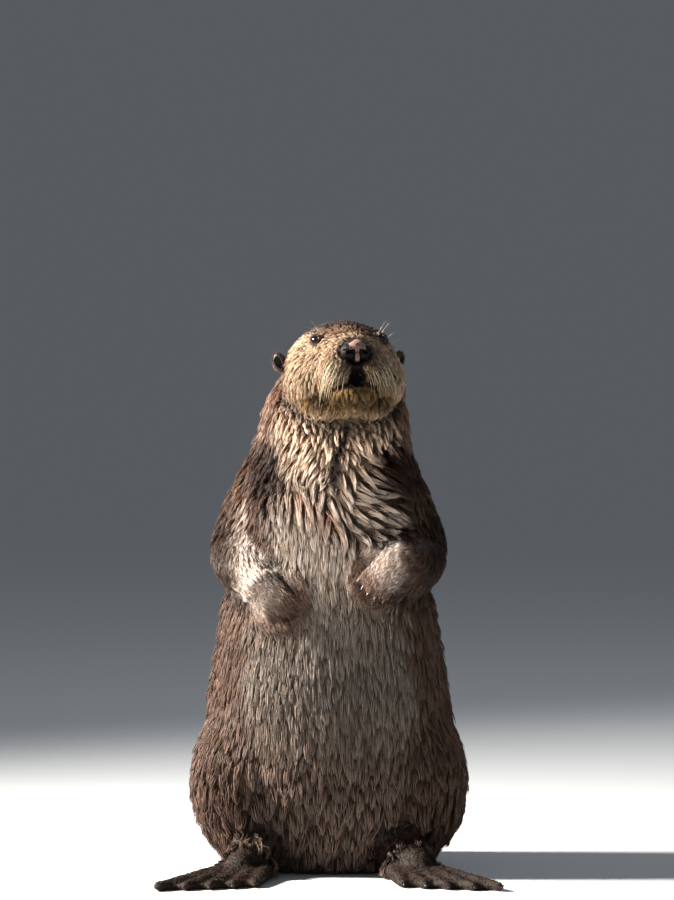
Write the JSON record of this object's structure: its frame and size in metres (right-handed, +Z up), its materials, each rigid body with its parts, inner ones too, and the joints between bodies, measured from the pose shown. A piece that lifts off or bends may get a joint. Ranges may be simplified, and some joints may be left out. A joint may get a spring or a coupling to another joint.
{
  "type": "sea otter",
  "caption": "Sea otter sitting upright on its haunches, head raised, paws low at the belly, webbed hind flippers forward and tail laid behind; wet shaggy coat.",
  "frame": {"origin": "middle of the flat under the rump, on the floor", "axes": "+Z up, -Y the way the chest faces, +X towards the otter's own left side; tail along +Y"},
  "size_m": [0.4231, 0.7182, 0.6746],
  "materials": {
    "face_coat": "damp fur",
    "body_coat": "wet fur, glossy in streaks",
    "paw": "short damp fur and bare pads",
    "flipper": "short wet fur",
    "eye": "wet gloss",
    "nose": "wet"
  },
  "bodies": {
    "root": {"trunk": "body_coat", "neck": "body_coat", "head": "face_coat", "tail": "body_coat", "nose": "nose", "ear_left": "face_coat", "eye_left": "eye", "upper_arm_left": "body_coat", "forearm_left": "body_coat", "paw_left": "paw", "thigh_left": "body_coat", "flipper_left": "flipper", "ear_right": "face_coat", "eye_right": "eye", "upper_arm_right": "body_coat", "forearm_right": "body_coat", "paw_right": "paw", "thigh_right": "body_coat", "flipper_right": "flipper"}
  },
  "joints": []
}
